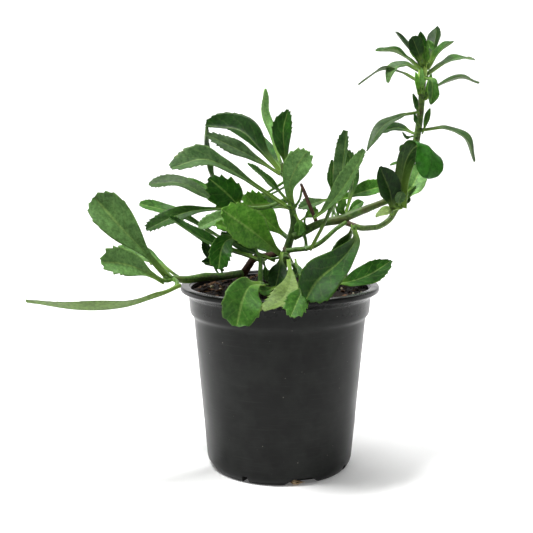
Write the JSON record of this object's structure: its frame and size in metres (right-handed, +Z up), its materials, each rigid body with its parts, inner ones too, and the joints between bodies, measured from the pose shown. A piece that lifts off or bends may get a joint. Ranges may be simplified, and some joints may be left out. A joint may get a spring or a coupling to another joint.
{
  "type": "potted scaevola",
  "caption": "Young fan-flower plant with toothed spoon-shaped leaves on arching stems, rooted in a round black nursery pot",
  "frame": {"origin": "centre of the pot's flat underside", "axes": "+Z is up; -Y is the front of the plant, and the tall shoot leans to +X"},
  "size_m": [0.3388, 0.1765, 0.3454],
  "materials": {
    "pot_plastic": "satin black moulded polypropylene",
    "potting_soil": null,
    "pale_root": "dry fibrous root",
    "green_stem": "smooth green to olive bark",
    "woody_stem": "rough red-brown bark",
    "leaf_green": null
  },
  "bodies": {
    "root": {"nursery_pot": "pot_plastic", "potting_soil": "potting_soil", "root_tuft": "pale_root", "stem_main": "green_stem", "stem_left_low": "green_stem", "stem_woody_stump": "woody_stem", "stem_green_basal": "green_stem", "stem_right_branch": "green_stem", "stem_curved": "green_stem", "stem_tall_shoot": "green_stem", "stem_arch": "green_stem", "stem_red_twig": "woody_stem", "leaf_low_broad": "leaf_green", "leaf_low_front": "leaf_green", "leaf_low_back": "leaf_green", "leaf_low_narrow": "leaf_green", "leaf_low_long": "leaf_green", "leaf_left_stalked": "leaf_green", "leaf_left_band": "leaf_green", "leaf_left_drooped": "leaf_green", "leaf_left_long": "leaf_green", "leaf_left_dark": "leaf_green", "leaf_left_upright": "leaf_green", "leaf_left_nodding": "leaf_green", "leaf_left_under": "leaf_green", "leaf_upper_arched": "leaf_green", "leaf_upper_broad": "leaf_green", "leaf_upper_grey": "leaf_green", "leaf_upper_narrow": "leaf_green", "leaf_upper_pale": "leaf_green", "leaf_upper_dark": "leaf_green", "leaf_centre_light": "leaf_green", "leaf_centre_broad": "leaf_green", "leaf_centre_back": "leaf_green", "leaf_centre_rolled": "leaf_green", "leaf_centre_low": "leaf_green", "leaf_right_folded": "leaf_green", "leaf_right_toothed": "leaf_green", "leaf_right_diagonal": "leaf_green", "leaf_right_level": "leaf_green", "leaf_shoot_dark": "leaf_green", "leaf_shoot_recurved": "leaf_green", "leaf_shoot_olive": "leaf_green", "leaf_shoot_left": "leaf_green", "leaf_shoot_back": "leaf_green", "leaf_shoot_right": "leaf_green", "leaf_top_far_left": "leaf_green", "leaf_top_left": "leaf_green", "leaf_top_up_left": "leaf_green", "leaf_top_facing": "leaf_green", "leaf_top_up_right": "leaf_green", "leaf_top_right": "leaf_green", "leaf_top_far_right": "leaf_green", "leaf_top_level": "leaf_green", "leaf_top_hanging": "leaf_green", "leaf_rim_left": "leaf_green", "leaf_rim_pale": "leaf_green", "leaf_rim_centre": "leaf_green", "leaf_rim_broad": "leaf_green", "leaf_rim_right": "leaf_green"}
  },
  "joints": []
}
